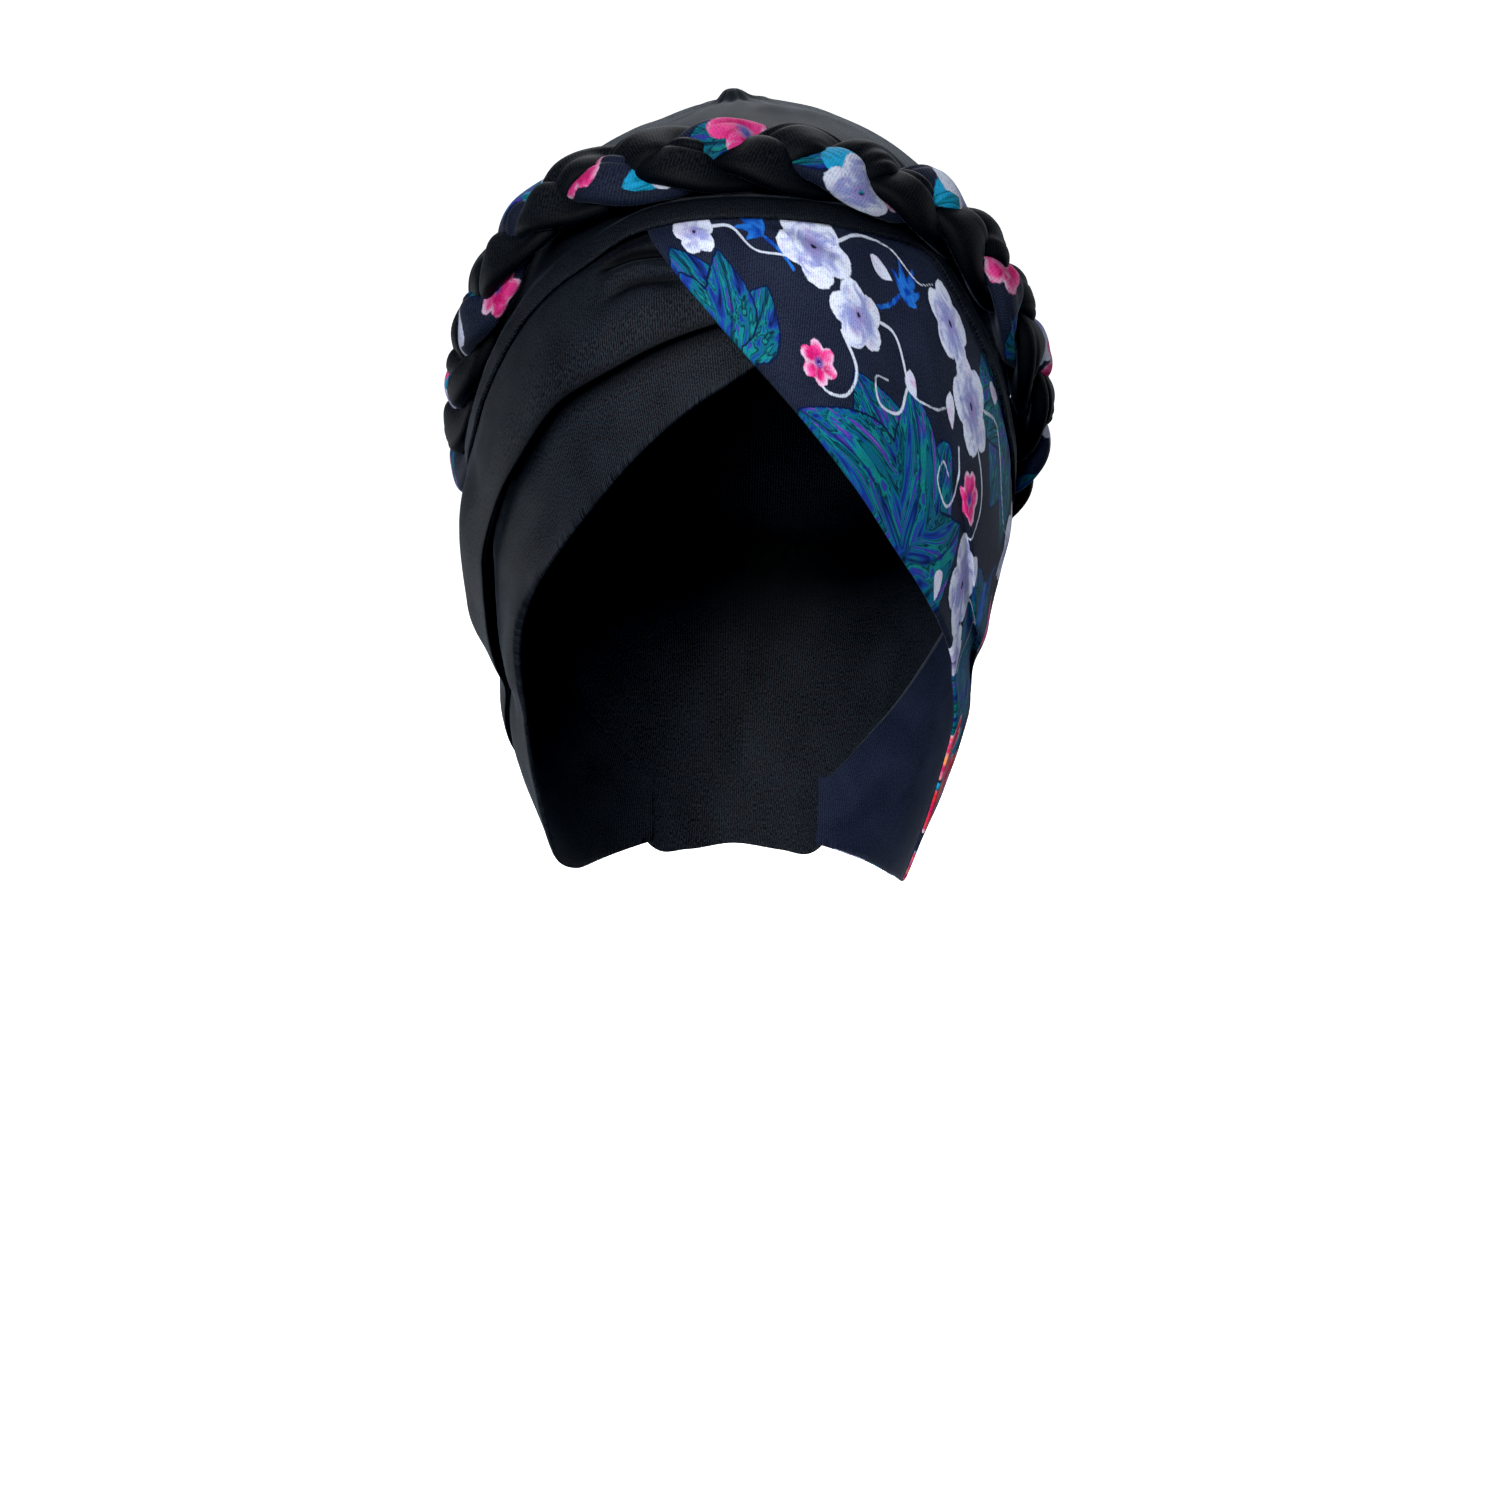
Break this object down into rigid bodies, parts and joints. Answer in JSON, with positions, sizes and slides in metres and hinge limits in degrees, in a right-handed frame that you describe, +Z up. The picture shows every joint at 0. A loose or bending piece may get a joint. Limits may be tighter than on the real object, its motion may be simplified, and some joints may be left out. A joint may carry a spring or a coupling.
{
  "type": "turban headwrap",
  "caption": "Pre-tied stretch turban: smooth jersey crown, a plain and a printed front panel crossed at the forehead, and a flat plait laid round the crown.",
  "frame": {"origin": "inside top of the crown, where it sits on the wearer's head", "axes": "+Z up, -Y towards the face opening, +X to the printed side"},
  "size_m": [0.185, 0.2063, 0.248],
  "materials": {
    "black_jersey": "soft satin stretch knit",
    "print_jersey": "soft satin stretch knit, floral print"
  },
  "bodies": {
    "root": {"crown": "black_jersey", "front_panel_black": "black_jersey", "front_panel_print": "print_jersey", "plait_strand_print": "print_jersey", "plait_strand_black_a": "black_jersey", "plait_strand_black_b": "black_jersey"}
  },
  "joints": []
}
